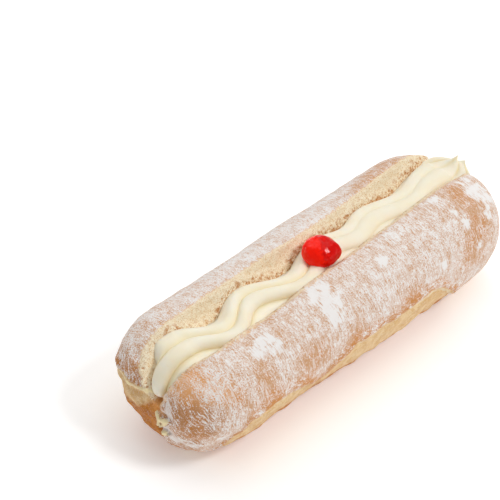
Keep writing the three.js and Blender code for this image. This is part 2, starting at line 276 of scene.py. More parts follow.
TEAR_OVER = (-86 * MM, -91 * MM)  # under the cream the first end tore open and shows darker orange dough, painted lighter as painted light in the cream's shade
TEAR_TOP = (33 * MM, 28 * MM)
TEAR_FOOT = (20 * MM, 25 * MM)
TEAR_HALF = 4 * MM


def tear_share(point):
    height = smooth(point.z, *TEAR_TOP) * smooth(point.z, *TEAR_FOOT)
    return height * smooth(point.x, *TEAR_OVER) * bell((point.y - split_middle(point.x)) / TEAR_HALF)


# Scraps of crumb that hang on the torn end: place and radius of each, mm
FLAKES = [
    ((-93.8, -4.6, 23.6), 3), ((-94.2, -7.4, 24.4), 2.4), ((-93, -7, 17.5), 2), ((-94.6, 3.4, 32.6), 2),
]
FLAKE_RISE = 2 * MM
FLAKE_FRAY = 1.7 * MM
FLAKE_FRAY_SIZE = 2.2 * MM
FLAKE_CORE = 0.6


def flake_share(point):
    """1 on the scraps of crumb, with frayed edges."""
    frayed = FLAKE_FRAY * ripple(point, FLAKE_FRAY_SIZE, 3)
    return max(
        smooth((point - Vector(middle) * MM).length + frayed, radius * MM, FLAKE_CORE * radius * MM)
        for middle, radius in FLAKES
    )


CRUMB_ROUGH = 0.28 * MM
CRUMB_HOLLOW = (-0.5, 0.7)
CRUMB_HOLLOW_SIZE = 1.3 * MM
CRUMB_RAISED = 0.35  # share of its roughness that stands out of the wall
CRUMB_PORE = 0.55 * MM
PORE_SPACING = 1.5 * MM
PORE_EDGE = (0.55, 0.15)
PORE_CLUSTER = 4 * MM
PORE_CLUSTERED = (0.5, 1.2)
TORN_NEAR = (1.4, 1.05)  # the cream tore the crumb near it
TORN_SHARES = (0.66, 1.21)  # less where it lies at the back than where it has swung to the front
CRUMB_SWELL = 1.3 * MM  # and there the crumb stands out to meet it
SWELL_NEAR = (1.4, 1.1)


def crumb_relief(point):
    """Height of the crumb over the plain wall, how much of a pore there is and how hollow it is."""
    near = from_cream(point)
    away = swing_stretch(point.x - MIDDLE_X)[1]
    torn = smooth(near, *TORN_NEAR) * blend(*TORN_SHARES, away)
    pore = smooth(noise.voronoi(point / PORE_SPACING)[0][0], *PORE_EDGE)
    pore *= smooth(ripple(point, PORE_CLUSTER) + torn, *PORE_CLUSTERED)
    hollow = smooth(ripple(point, CRUMB_HOLLOW_SIZE, 3), *CRUMB_HOLLOW)
    height = CRUMB_ROUGH * (CRUMB_RAISED - hollow) - CRUMB_PORE * pore
    return height + CRUMB_SWELL * smooth(near, *SWELL_NEAR), pore, hollow


# Where the sugar lies thick and where it was rubbed off: place and radius of each patch, mm
SUGAR_PATCHES = [
    ((-53, -21, 47), 5), ((-59, -23, 46.5), 5), ((-51, -26, 45), 3.5), ((-20, -22, 47.5), 7),
    ((-17.5, -16, 49.5), 6), ((-20.5, -28, 43.5), 5), ((57, -11, 51), 5), ((80, -14, 49), 6),
    ((84, -22, 44), 5), ((27, -16, 50), 6), ((14, -21, 48), 5), ((42, -33, 36), 4), ((-84, -28, 18), 6),
    ((-93, -9, 16), 4), ((-90, -18, 12), 4), ((79, -20, 47.5), 6), ((60, -22.5, 48), 3),
    ((62, -28, 44), 3), ((66, -33, 34), 3), ((76, -29, 42), 3), ((-16, 16, 49), 5), ((-25, 19, 48.5), 4),
    ((-31, 22, 47), 5), ((-51, 17, 48.5), 5), ((-58, 24, 46), 4), ((-1, 17, 49.5), 4), ((12, 20, 48.5), 5),
    ((-69, 20, 47), 4), ((-93.5, -8, 20), 3), ((-93.5, -8.5, 34), 3), ((-94, -9, 28), 3),
    ((-92, -14, 14), 4),
]
BARE_PATCHES = [
    ((70, -22, 48), 9), ((68, -30, 38), 8), ((60, -34, 32), 7), ((-84, -12, 46), 5),
    ((-91.5, -17, 37), 4.5), ((-77, -30, 38), 6), ((-62, -34, 33), 7), ((-40, -34, 33), 7),
    ((-14, -34, 34), 6), ((-45, -12, 49), 4), ((20, -34, 32), 6), ((-92, -18, 30), 7),
    ((-92, -22, 22), 6), ((-93, 12, 38), 6), ((72, -15, 50), 6), ((76, -25, 45), 5), ((-88, -13, 43), 5),
    ((46, 16, 50), 6), ((57, 18, 49), 8), ((68, 20, 48), 8), ((-33, -32, 37), 6), ((-64, -30, 41), 5),
]
COVER_MEAN = 0.575  # share of the crust that fine sugar covers
COVER_VARIES = 0.07
COVER_SIZE = 15 * MM
COVER_BACK = 0.15  # there is more along the middle of the back half
BACK_FROM = (8 * MM, 14 * MM)
BACK_LENGTH = 60 * MM
COVER_BARE = (0.28, 0.37)  # less where it was rubbed off, and most of all low on the first end, where less sugar is also painted shade
COVER_LOW = 0.2  # and less toward the lower edge of the crust
LOW_CRUST = 8 * MM
CLUMP_BACK = 0.62  # on the back half the thick patches are thinner
CLUMP_BACK_FROM = (4 * MM, 12 * MM)


def patch_sum(point, patches):
    """How far a point lies inside the patches, at most 1."""
    total = sum(bell((point - Vector(middle) * MM).length / (radius * MM)) for middle, radius in patches)
    return min(1.0, total)


def sugar_cover(point, level, rubbed_and_shaded):
    """How much of the crust the fine sugar covers."""
    cover = COVER_MEAN + COVER_VARIES * ripple(point, COVER_SIZE)
    cover += COVER_BACK * smooth(point.y, *BACK_FROM) * bell(point.x / BACK_LENGTH)
    cover -= blend(*COVER_BARE, rubbed_and_shaded) * patch_sum(point, BARE_PATCHES)
    return cover - COVER_LOW * smooth(level, LOW_CRUST, 0)


def sugar_clump(point):
    """How thick the sugar lies in the white patches."""
    thinner = blend(1, CLUMP_BACK, smooth(point.y, *CLUMP_BACK_FROM))
    return patch_sum(point, SUGAR_PATCHES) * thinner


def linked(name, mesh):
    piece = bpy.data.objects.new(name, mesh)
    bpy.context.scene.collection.objects.link(piece)
    return piece


def applied(piece):
    """Replaces the piece's mesh by what its modifiers make of it."""
    graph = bpy.context.evaluated_depsgraph_get()
    piece.data = bpy.data.meshes.new_from_object(piece.evaluated_get(graph))
    piece.modifiers.clear()


BUN_VOXEL = 1.05 * MM
BUN_SMOOTHING = 6
SAME_PLACE = 0.001 * MM

bun = linked("sugared_bun", bpy.data.meshes.new("sugared_bun"))
form = bmesh.new()
form.from_mesh(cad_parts["bun"].data)
bmesh.ops.remove_doubles(form, verts=form.verts, dist=SAME_PLACE)
form.to_mesh(bun.data)
form.free()
remesh = bun.modifiers.new("even_faces", "REMESH")
remesh.mode = "VOXEL"
remesh.voxel_size = BUN_VOXEL
applied(bun)

form = bmesh.new()
form.from_mesh(bun.data)
for _ in range(BUN_SMOOTHING):
    bmesh.ops.smooth_vert(
        form, verts=form.verts, factor=0.5, use_axis_x=True, use_axis_y=True, use_axis_z=True
    )

FINE_WALL = 1.5 * MM
FINE_WALL_FROM = SPLIT_FLOOR - 1 * MM
FINE_RIM_X = -86 * MM
FINE_RIM_Y = 30 * MM
FINE_RIM_HEIGHTS = (24 * MM, 38 * MM)
FINE_FOLD_X = -88 * MM
FINE_FOLD_HALF = 9 * MM


def needs_fine_faces(point):
    """True on the crumb of the split's walls, along the torn rim and around the fold."""
    on_wall = point.z > FINE_WALL_FROM and from_wall(point) < FINE_WALL
    rim_low, rim_high = FINE_RIM_HEIGHTS
    on_rim = point.x < FINE_RIM_X and point.y < FINE_RIM_Y and rim_low < point.z < rim_high
    on_fold = point.x < FINE_FOLD_X and abs(point.y - FOLD_Y) < FINE_FOLD_HALF
    return on_wall or on_rim or on_fold


fine = [edge for edge in form.edges if all(needs_fine_faces(vert.co) for vert in edge.verts)]
bmesh.ops.subdivide_edges(form, edges=fine, cuts=1, use_grid_fill=True)
form.normal_update()

LAYERS = [
    "wall", "level", "base", "cover", "clump", "pore", "contact", "end", "rubbed_and_shaded", "golden_and_lit", "fold", "tear",
    "flake", "deep",
]
LEVEL_LUMPS = (2.2 * MM, 11 * MM)  # the crust's lower edge wanders by this much, in waves of this length
BASE_WANDER = 1.2 * MM  # and so does the upper edge of the browned base
BASE_WANDER_SIZE = 6 * MM
CRUMB_OVER = (1.5 * MM, 0.8 * MM)
CRUMB_FROM = (SPLIT_FLOOR - 2 * MM, SPLIT_FLOOR)
END_FACING = (0.4, 0.75)
RUBBED_HEIGHTS = (44 * MM, 34 * MM)
GOLDEN_FRONT = (4 * MM, 0)  # high on the front half's first end the crust is golden and painted lighter, as painted light
GOLDEN_FACING = (0.1, 0.4)
GOLDEN_HEIGHTS = (35 * MM, 42 * MM)
LESS_SHADE_AT_FIRST_END = 0.3  # at the first end the crumb beside the cream gets less painted shade and brown
LESS_SHADE_OVER = (-74 * MM, -84 * MM)

layers = {name: form.verts.layers.float.new(name) for name in LAYERS}
for vert in form.verts:
    point = vert.co.copy()
    facing = vert.normal.x
    wall = ragged_wall(point)
    band_top, band_bottom = band_heights(point)
    level = point.z - band_top + lumps(point, *LEVEL_LUMPS)
    base = band_bottom - point.z + BASE_WANDER * ripple(point, BASE_WANDER_SIZE)
    ledge = ledge_share(point, level)
    fold, beside_fold = fold_place(point)
    flake = flake_share(point)
    # on the first end, turned from the lamps, sugar is rubbed off and the crust is browner; both also paint
    # shade there
    rubbed_and_shaded = smooth(-facing, *END_FACING) * smooth(point.z, *RUBBED_HEIGHTS)
    # painted light: high on the first end, on faces turned from the lamps, the crust is golden and painted
    # lighter
    golden_and_lit = smooth(-facing, *GOLDEN_FACING) * smooth(point.z, *GOLDEN_HEIGHTS)

    offset = crust_relief(point, level) + RIM_LEDGE * ledge + FLAKE_RISE * flake
    offset -= FOLD_DEPTH * fold * bell(beside_fold / FOLD_HALF)
    offset += FOLD_SWELL * fold * bell((beside_fold - FOLD_SWELL_AT) / FOLD_SWELL_HALF)
    crumb = smooth(wall, *CRUMB_OVER) * smooth(point.z, *CRUMB_FROM)
    pore = 0.0
    hollow = 0.0
    if crumb > 0:
        crumb_height, pore, hollow = crumb_relief(point)
        offset = blend(offset, crumb_height, crumb)

    values = {
        "wall": wall / MM,
        "level": level / MM,
        "base": base / MM,
        "cover": sugar_cover(point, level, rubbed_and_shaded),
        "clump": sugar_clump(point),
        "pore": pore * crumb,
        "contact": from_cream(point) + LESS_SHADE_AT_FIRST_END * smooth(point.x, *LESS_SHADE_OVER),
        "end": smooth(abs(facing), *END_FACING),
        "rubbed_and_shaded": rubbed_and_shaded,
        "golden_and_lit": golden_and_lit * smooth(point.y, *GOLDEN_FRONT),
        "fold": fold * bell(beside_fold / FOLD_BROWN_HALF),
        "tear": tear_share(point),
        "flake": max(flake, ledge),
        "deep": hollow,
    }
    for name, value in values.items():
        vert[layers[name]] = value
    vert.co = point + vert.normal * offset
    vert.co.z = max(vert.co.z, 0.0)
form.to_mesh(bun.data)
form.free()
bun.data.shade_smooth()


class Shade:
    """One socket of a material's nodes, which can stand in a Python expression."""

    def __init__(self, tree, socket=None):
        self.tree = tree
        self.socket = socket

    def node(self, kind, settings=None, sockets=None, output=0):
        made = self.tree.nodes.new(kind)
        for name, value in (settings or {}).items():
            setattr(made, name, value)
        for name, value in (sockets or {}).items():
            if isinstance(value, Shade):
                self.tree.links.new(value.socket, made.inputs[name])
            else:
                made.inputs[name].default_value = value
        return Shade(self.tree, made.outputs[output] if made.outputs else None)

    def math(self, operation, first, second):
        return self.node("ShaderNodeMath", {"operation": operation}, {0: first, 1: second})

    def __add__(self, other):
        return self.math("ADD", self, other)

    def __radd__(self, other):
        return self.math("ADD", other, self)

    def __sub__(self, other):
        return self.math("SUBTRACT", self, other)

    def __rsub__(self, other):
        return self.math("SUBTRACT", other, self)

    def __mul__(self, other):
        return self.math("MULTIPLY", self, other)

    def __rmul__(self, other):
        return self.math("MULTIPLY", other, self)

    def step(self, start, end):
        """0 before start, 1 after end and smooth between them."""
        ends = {"Value": self, "From Min": start, "From Max": end}
        return self.node("ShaderNodeMapRange", {"interpolation_type": "SMOOTHSTEP"}, ends)

    def mix(self, under, over):
        """The colour under this mask where it is 0, and the one over it where it is 1."""
        return self.node("ShaderNodeMix", {"data_type": "RGBA"}, {0: self, 6: under, 7: over}, 2)

    def mottle(self, size, stretch=(1, 1, 1), detail=2.0, lean=0.0):
        """Noise from 0 to 1 in the piece's own space, with features of that size that lean sideways."""
        place = self.node("ShaderNodeTexCoord", output="Object")
        sockets = {"Vector": place, "Scale": [size * part for part in stretch], "Rotation": (lean, 0, 0)}
        scaled = self.node("ShaderNodeMapping", {"vector_type": "TEXTURE"}, sockets)
        return self.node("ShaderNodeTexNoise", sockets={"Vector": scaled, "Scale": 1.0, "Detail": detail})

    def attribute(self, name):
        return self.node("ShaderNodeAttribute", {"attribute_name": name}, output="Fac")


def new_material(name):
    material = bpy.data.materials.new(name)
    material.use_nodes = True
    material.node_tree.nodes.clear()
    return material, Shade(material.node_tree)


def finish_material(shade, sockets):
    surface = shade.node("ShaderNodeBsdfPrincipled", sockets=sockets)
    shade.node("ShaderNodeOutputMaterial", sockets={"Surface": surface})


def colour(red, green, blue):
    """A colour given as it looks on a screen, 0 to 255, as the light that a surface sends back."""
    parts = [part / 255 for part in (red, green, blue)]
    return [part / 12.92 if part < 0.04 else ((part + 0.055) / 1.055) ** 2.4 for part in parts] + [1.0]


CRUST_TAN = colour(207, 158, 117)
CRUST_ORANGE = colour(207, 142, 82)
# browner crust, also used as painted shade on the first end
CRUST_BROWN_AND_SHADE = colour(180, 120, 70)
CRUST_GOLD_AND_LIT = colour(232, 166, 104)
CRUST_LIP = colour(234, 190, 138)
SUGAR_WHITE = colour(241, 237, 234)
CRUMB_PALE = colour(248, 236, 210)
CRUMB_TAN = colour(230, 202, 160)
CRUMB_PIT = colour(208, 164, 112)
# brown of the torn crumb, also used as painted shade in its pores and hollows
CRUMB_BROWN_AND_SHADE = colour(190, 124, 62)
BAND_PALE = colour(236, 208, 164)
BAND_TAN = colour(218, 174, 114)
CREASE_PALE_AND_LIT = colour(240, 222, 190)
BASE_BROWN = colour(202, 134, 62)
BASE_DARK = colour(178, 105, 38)
FOLD_BROWN = colour(186, 112, 48)
TEAR_TAN_AND_LIT = colour(228, 162, 92)
FLAKE_PALE = colour(252, 234, 188)
END_LEAN = math.radians(-38)  # the sugar on the ends was rubbed down and toward the front

bun_material, shade = new_material("sugared_crust")
wall = shade.attribute("wall")
level = shade.attribute("level")
end = shade.attribute("end")
ragged = shade.mottle(1.3 * MM, detail=3.0) - 0.5
speckle = shade.mottle(0.4 * MM, detail=1.0) - 0.5
blotch = shade.mottle(4 * MM, detail=5.0) - 0.5
round_streaks = shade.mottle(0.38 * MM, (1, 8, 8)) - 0.5
long_streaks = shade.mottle(0.45 * MM, (7, 1, 1)) - 0.5
end_streaks = shade.mottle(0.42 * MM, (7, 1, 7), lean=END_LEAN) - 0.5
scratches = shade.mottle(3 * MM, (1, 7, 7), detail=3.0) - 0.5

# Crust, and the icing sugar on it in streaks, clumps and scratches
low = level.step(7.0, 1.0)
streaks = (round_streaks * (1 - low) + long_streaks * low) * (1 - end) + end_streaks * end
orange = (blotch * 2.0 + low * 0.5 - shade.attribute("cover") + 0.75).step(0.2, 0.7)
# painted shade: browner crust and less sugar on the first end, which faces away from the lamps, where sugar
# was also rubbed off
rubbed_and_shaded = shade.attribute("rubbed_and_shaded")
crust = (rubbed_and_shaded * 0.6).mix(orange.mix(CRUST_TAN, CRUST_ORANGE), CRUST_BROWN_AND_SHADE)
# painted light: golden and lighter crust high on the front of the first end
crust = (shade.attribute("golden_and_lit") * 0.8).mix(crust, CRUST_GOLD_AND_LIT)
amount = shade.attribute("cover") + streaks * (1.5 + rubbed_and_shaded * 2.4) + speckle * (2.2 + rubbed_and_shaded * 1.2)
amount = amount + blotch * (1.1 + rubbed_and_shaded * 0.4 + low * 0.9) - rubbed_and_shaded * 0.13
scratch = scratches.math("ABSOLUTE", scratches, 0).step(0.03, 0.0)
clump = (shade.attribute("clump") + blotch * 2.2 + streaks * 2.0 + speckle * 0.8).step(0.34, 0.84)
sugar = amount.step(0.12, 0.92)
sugar = sugar.math("MAXIMUM", sugar, clump * (1 - rubbed_and_shaded * 0.3))
sugar = sugar.math("MAXIMUM", sugar, scratch * (1 - low) * (1 - end) * 0.6)
crust = sugar.mix(crust, SUGAR_WHITE)
lip = (wall + ragged * 3.4 + speckle * 2.0).step(1.8, 1.0)
crust = (lip * 0.6).mix(crust, CRUST_LIP)

# Pale band, and the browned base below it
band = (blotch * 1.6 + speckle * 1.8 + ragged * 0.6 + 0.5).step(0.3, 0.7).mix(BAND_PALE, BAND_TAN)
# a pale line below the crust's edge: the pale torn rim, with painted light where that rim catches it
under_crust = level + blotch * 2.0 + ragged * 1.2 + 1.7
band = (under_crust.math("ABSOLUTE", under_crust, 0).step(1.1, 0.5) * 0.85).mix(band, CREASE_PALE_AND_LIT)
brown = (blotch * 1.8 + speckle + ragged + 0.5).step(0.2, 0.8).mix(BASE_BROWN, BASE_DARK)
below_band = (shade.attribute("base") + ragged * 4.0).step(-1.0, 2.0)
band = below_band.mix(band, brown)
band = ((streaks + speckle * 2.0 + blotch * 0.8).step(0.0, 0.8) * 0.55).mix(band, SUGAR_WHITE)
skin = (level + ragged * 2.5).step(-0.8, 0.3).mix(band, crust)

# Torn crumb of the walls, darker beside the cream: painted shade in its pores, in its hollows and along the
# cream, over crumb that is browner there
grain = shade.mottle(0.8 * MM, detail=4.0)
pores = (shade.attribute("pore") + speckle * 0.6).step(0.3, 0.95)
# how near the cream a point lies, for the painted shade and the browner crumb there
brown_and_shade_near_cream = (shade.attribute("contact") + ragged * 0.5).step(1.2, 1.0)
# painted shade: the hollows of the crumb are painted tan
grainy = grain * 0.4 + speckle * 1.5 + shade.attribute("deep") * 0.15
crumb = grainy.step(0.0, 0.6).mix(CRUMB_PALE, CRUMB_TAN)
pits = (shade.mottle(0.4 * MM, detail=1.0) + brown_and_shade_near_cream * 0.06).step(0.56, 0.72)
crumb = (pits * 0.65).mix(crumb, CRUMB_PIT)
# painted shade: the pores are painted dark brown
crumb = (pores * 0.8).mix(crumb, CRUMB_BROWN_AND_SHADE)
# painted shade along the cream, over crumb that is browner there
crumb = (brown_and_shade_near_cream * grain.step(0.48, 0.6) * 0.8).mix(crumb, CRUMB_BROWN_AND_SHADE)
# painted shade: dark patches in hollows beside the cream
beside_cream = (shade.attribute("contact") + ragged * 0.4).step(1.35, 1.1)
shaded_hollows = shade.mottle(2.4 * MM, detail=4.0).step(0.52, 0.62)
crumb = (beside_cream * shaded_hollows * 0.7).mix(crumb, CRUMB_BROWN_AND_SHADE)
torn = (wall + ragged * 1.6).step(1.2, 0.8)
surface = torn.mix(skin, crumb)

# Fold, tear and scraps of crumb at the first end
fold = (shade.attribute("fold") + ragged * 0.8 + speckle * 0.6).step(0.3, 0.8) * 0.75
surface = fold.mix(surface, FOLD_BROWN)
# painted light: the tear's orange is lightened where the cream shades it
surface = ((shade.attribute("tear") + ragged * 1.2 + speckle).step(0.2, 0.8) * 0.85).mix(surface, TEAR_TAN_AND_LIT)
surface = (shade.attribute("flake") + speckle * 0.8).step(0.3, 0.7).mix(surface, FLAKE_PALE)

bumps = streaks * 0.4 + speckle * 0.7 + ragged * 0.6
relief = shade.node(
    "ShaderNodeBump", sockets={"Height": bumps, "Distance": 0.35 * MM, "Strength": 0.5}
)
finish_material(shade, {
    "Base Color": surface, "Roughness": 0.85, "Normal": relief, "Specular IOR Level": 0.2,
})
bun.data.materials.append(bun_material)
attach(bun, "root")
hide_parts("bun")

# Cream
# Sweet whipped cream, piped into the open split from a bag with an eight-pointed star nozzle. The hand
# swung from side to side over the first half and went straighter over the second, and then drew the
# nozzle up and away, which left a point and two small peaks.

WALL_REACH = 1 * MM  # the cream presses this far into the pores of the walls
ROPE_FROM = -77.5 * MM
ROPE_TO = 81 * MM
ROPE_RIDGES = 8
ROPE_FIRST_GROOVE = math.radians(7.5)
ROPE_GROOVE = 0.27
ROPE_ROUNDNESS = 0.58  # below 1 the ridges are rounder and the grooves between them narrower
ROPE_PRESSED_FROM = (0.2, 0.8)  # beside the back wall the first half's grooves are pressed out
ROPE_PRESSED_TO = (math.pi, 1.6)
ROPE_NARROW = 2 * MM  # its back side is drawn in by this much
ROPE_NARROW_AT = -24 * MM
ROPE_NARROW_LENGTH = 34 * MM
ROPE_CALM = 0.5  # share of the grooves' depth that the calmer second half has
START_BEND = 6.4 * MM  # the first end bends down over the end of the bun
START_PITCH = math.radians(108)
START_FULLNESS = 9  # the higher, the blunter its end
START_FLAT = 0.35  # its underside is pressed in by this share
START_GROOVE = 0.1
START_SWING = 1.8 * MM  # it swings toward the back wall
START_TWIST = math.radians(16)  # and its ridges turn that way
START_SWELL = 1.3 * MM  # the ridge beside the back wall is fuller there
START_SWELL_LENGTH = 12 * MM
START_TUCK = 0.5  # the ridge beside the back wall stops short, so its reach shrinks by this share
START_TUCK_OVER = (0.15, 0.6)
START_TUCK_EDGE = 0.2
TIP_BEND = 10 * MM
TIP_PITCH = math.radians(80)
TIP_FULLNESS = 0.45
TIP_WIDEN = 0.32  # it spreads as the nozzle stops
TIP_EASE = 0.4  # this share of the spread comes over the last stretch of the rope
TIP_EASE_LENGTH = 15 * MM
TIP_FLAT = 0.5  # share of its underside that is left over the end of the bun
TIP_SWING = 4 * MM
TIP_DRAW = 1.2 * MM
TIP_GROOVE = 0.24
TIP_LIFT = 1.7 * MM  # the ridge at the back stands up beside the point
TIP_LIFT_LEAN = math.radians(75)
TIP_LIFT_HALF = 0.4
TIP_FROM = 78 * MM
CREAM_ROUND = 128
CREAM_ALONG = 420
START_SHARE = 0.12  # share of the rings that the drooping first end takes
TIP_SHARE = 0.09
FILL_TOP = 36 * MM
FILL_RISE = 4.5 * MM  # between its two ends it is squeezed up higher beside the rope
FILL_RISE_FIRST = (-76 * MM, -62 * MM)
FILL_RISE_LAST = (80 * MM, 66 * MM)
FILL_FROM = -84 * MM
FILL_TO = 88 * MM
FILL_CUTS = 40
PEAKS = [((86.7, 3.8, 44), 9, 6), ((89.4, -0.4, 44.2), 6, 4.6)]  # foot, height and radius of each, mm
PEAK_LEAN = Vector((0.45, -0.48))  # they lean the way the nozzle went
PEAK_FLARE = 1.8  # above 1 they draw in quickly to a thin point
PEAK_SOFT = 1.2 * MM  # the foot of a peak runs into the rope over about this much
PEAK_AROUND = (1.2, 0.7)  # it ends between these shares of its radius, and between these heights
PEAK_FOOT = (-2 * MM, 1 * MM)
CREAM_SHARP = math.radians(40)  # edges bent more than this, as along the walls, are shaded sharp


def between_walls(point):
    """The point, kept inside the split."""
    z = max(point.z, SPLIT_FLOOR)
    front = split_wall(point.x, z, -1) - WALL_REACH
    back = split_wall(point.x, z, 1) + WALL_REACH
    return Vector((point.x, min(max(point.y, front), back), z))


def rope_point(along, lean):
    """Place on the rope and how deep it lies in a groove, 0 to 1. Along runs from 0 at the first end to
    1 at the tip, and lean is measured from straight up."""
    run = (along - START_SHARE) / (1 - START_SHARE - TIP_SHARE)
    station = blend(ROPE_FROM, ROPE_TO, min(max(run, 0), 1))
    middle = rope_middle(station)
    calm = calmness(station)
    half_width = blend(ROPE_HALF_WIDTH, ROPE_HALF_WIDTH_CALM, calm)
    if lean > 0:
        half_width -= ROPE_NARROW * bell((station - ROPE_NARROW_AT) / ROPE_NARROW_LENGTH)
        half_width += START_SWELL * bell((station - ROPE_FROM) / START_SWELL_LENGTH)
    depth = ROPE_GROOVE * blend(1, ROPE_CALM, calm)
    radius = 1.0
    pitch = 0.0
    under = 1.0
    turn = lean
    lift = 0.0
    near_tip = TIP_EASE * smooth(station, ROPE_TO - TIP_EASE_LENGTH, ROPE_TO)
    if along < START_SHARE:
        bent = 1 - along / START_SHARE
        pitch = START_PITCH * bent
        middle.x -= START_BEND * math.sin(pitch)
        middle.y = rope_middle(ROPE_FROM - START_BEND * bent).y + START_SWING * bent
        middle.z -= START_BEND * (1 - math.cos(pitch))
        radius = math.sqrt(max(0, 1 - bent ** START_FULLNESS))
        beside_wall = smooth(lean, ROPE_FIRST_GROOVE, ROPE_FIRST_GROOVE + START_TUCK_EDGE)
        radius *= 1 - START_TUCK * smooth(bent, *START_TUCK_OVER) * beside_wall
        under = blend(1, START_FLAT, bent)
        turn += START_TWIST * bent
        depth += START_GROOVE * bent
    if along > 1 - TIP_SHARE:
        reach = math.sin((1 - along) / TIP_SHARE * math.pi / 2)
        pitch = TIP_PITCH * math.acos(min(1, reach)) / (math.pi / 2)
        middle.x += TIP_BEND * math.sin(pitch)
        near_tip += (1 - TIP_EASE) * (1 - reach)
        middle.z += TIP_BEND * (1 - math.cos(pitch)) + TIP_DRAW * (1 - reach)
        radius = max(0, reach) ** TIP_FULLNESS
        under = blend(TIP_FLAT, 1, reach)
        lift = TIP_LIFT * bell((lean - TIP_LIFT_LEAN) / TIP_LIFT_HALF) * 4 * reach * (1 - reach)
        depth += TIP_GROOVE * (1 - reach)
    middle.y -= TIP_SWING * near_tip
    half_width *= 1 + TIP_WIDEN * near_tip
    ridge = abs(math.sin(ROPE_RIDGES / 2 * (lean - ROPE_FIRST_GROOVE))) ** ROPE_ROUNDNESS
    depth *= 1 - (1 - calm) * smooth(lean, *ROPE_PRESSED_FROM) * smooth(lean, *ROPE_PRESSED_TO)
    radius *= 1 - depth * (1 - ridge)
    up = radius * ROPE_HALF_HEIGHT * math.cos(turn) * (1.0 if math.cos(turn) > 0 else under)
    place = Vector((
        middle.x - up * math.sin(pitch),
        middle.y + radius * half_width * math.sin(turn),
        middle.z + up * math.cos(pitch) + lift,
    ))
    return place, depth * (1 - ridge) / ROPE_GROOVE


def peak_rise(point, foot, height, radius):
    """How far a point on top of the rope is drawn up into a peak."""
    middle = Vector(foot) * MM
    up = point.z - middle.z
    away = (point.xy - middle.xy - Vector((MIDDLE_X, 0)) - PEAK_LEAN * up).length / (radius * MM)
    above = height * MM * (1 - away ** (1 / PEAK_FLARE)) - up
    drawn = 0.5 * (above + math.hypot(above, PEAK_SOFT))
    return drawn * smooth(away, *PEAK_AROUND) * smooth(up, *PEAK_FOOT)


cream = linked("piped_cream", bpy.data.meshes.new("piped_cream"))
form = bmesh.new()
bmesh.ops.create_uvsphere(form, u_segments=CREAM_ROUND, v_segments=CREAM_ALONG, radius=1)
groove_layer = form.verts.layers.float.new("groove")
for vert in form.verts:
    along = math.acos(max(-1, min(1, vert.co.z))) / math.pi
    point, vert[groove_layer] = rope_point(along, math.atan2(vert.co.y, vert.co.x))
    vert.co = between_walls(point)
    for peak in PEAKS:
        if point.x > TIP_FROM:
            vert.co += peak_rise(vert.co, *peak) * Vector((*PEAK_LEAN, 1))
bmesh.ops.recalc_face_normals(form, faces=form.faces)
form.to_mesh(cream.data)
form.free()

fill = linked("cream_fill", bpy.data.meshes.new("cream_fill"))
form = bmesh.new()
bmesh.ops.create_cube(form, size=1)
lengthwise = [edge for edge in form.edges if abs(edge.verts[0].co.x - edge.verts[1].co.x) > 0.5]
bmesh.ops.subdivide_edges(form, edges=lengthwise, cuts=FILL_CUTS, use_grid_fill=True)
for vert in form.verts:
    station = blend(FILL_FROM, FILL_TO, vert.co.x + 0.5)
    rise = FILL_RISE * smooth(station, *FILL_RISE_FIRST) * smooth(station, *FILL_RISE_LAST)
    z = blend(SPLIT_FLOOR, FILL_TOP + rise, vert.co.z + 0.5)
    vert.co = between_walls(Vector((station + MIDDLE_X, math.copysign(1.0, vert.co.y), z)))
form.to_mesh(fill.data)
form.free()

union = cream.modifiers.new("union", "BOOLEAN")
union.operation = "UNION"
union.solver = "MANIFOLD"
union.object = fill
applied(cream)
bpy.data.objects.remove(fill)
cream.data.shade_smooth()
cream.data.set_sharp_from_angle(angle=CREAM_SHARP)
cream.data.materials.clear()

CREAM_LIGHT = colour(246, 239, 220)
CREAM_DEEP = colour(244, 235, 211)
CREAM_YELLOW_AND_GROOVE_SHADE = colour(244, 230, 192)
cream_material, shade = new_material("whipped_cream")
tone = shade.mottle(12 * MM, detail=3.0).step(0.35, 0.65).mix(CREAM_LIGHT, CREAM_DEEP)
# painted shade: the grooves are painted a deeper, warmer yellow
tone = (shade.attribute("groove").step(0.1, 0.9) * 0.8).mix(tone, CREAM_YELLOW_AND_GROOVE_SHADE)
# deeper yellow specks at random
tone = (shade.mottle(0.9 * MM, detail=1.0).step(0.68, 0.76) * 0.4).mix(tone, CREAM_YELLOW_AND_GROOVE_SHADE)
air = shade.node(
    "ShaderNodeBump",
    sockets={"Height": shade.mottle(1.6 * MM, detail=3.0), "Distance": 0.1 * MM, "Strength": 0.4},
)
finish_material(shade, {
    "Base Color": tone, "Roughness": 0.45, "Normal": air, "Specular IOR Level": 0.3,
    "Subsurface Weight": 0.7, "Subsurface Radius": (1.0, 0.88, 0.7), "Subsurface Scale": 2.2 * MM,
})
cream.data.materials.append(cream_material)
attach(cream, "root")
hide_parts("cream")

# Jam
# A drop of set red jam, spooned onto the middle of the cream. It is a firm wet gel, so it shines and
# bulges over the ridges that it fills underneath.

JAM_MIDDLE = Vector((-1 * MM + MIDDLE_X, -1 * MM, 49.6 * MM))
JAM_RADIUS = 7.8 * MM
JAM_RISE = 6.1 * MM
JAM_WOBBLE = 0.2 * MM
JAM_WOBBLE_SIZE = 3.6 * MM
JAM_DIMPLE = 0.1 * MM
JAM_DIMPLE_SIZE = 1.5 * MM
JAM_CORNER = 0.15  # the spoon left it with a corner, this much further out
JAM_CORNER_TURN = math.radians(-46)
JAM_CORNER_HALF = 0.28
JAM_FLAT = 0.04  # and flatter on both sides of it
JAM_LIT_SIDE = Vector((-0.75, 0.6, -0.1))  # painted light: the jam is painted lighter red on this side, for the light that comes through it
JAM_LIT_OVER = (-0.5, 0.8)
JAM_ROUND = 128
JAM_RINGS = 80

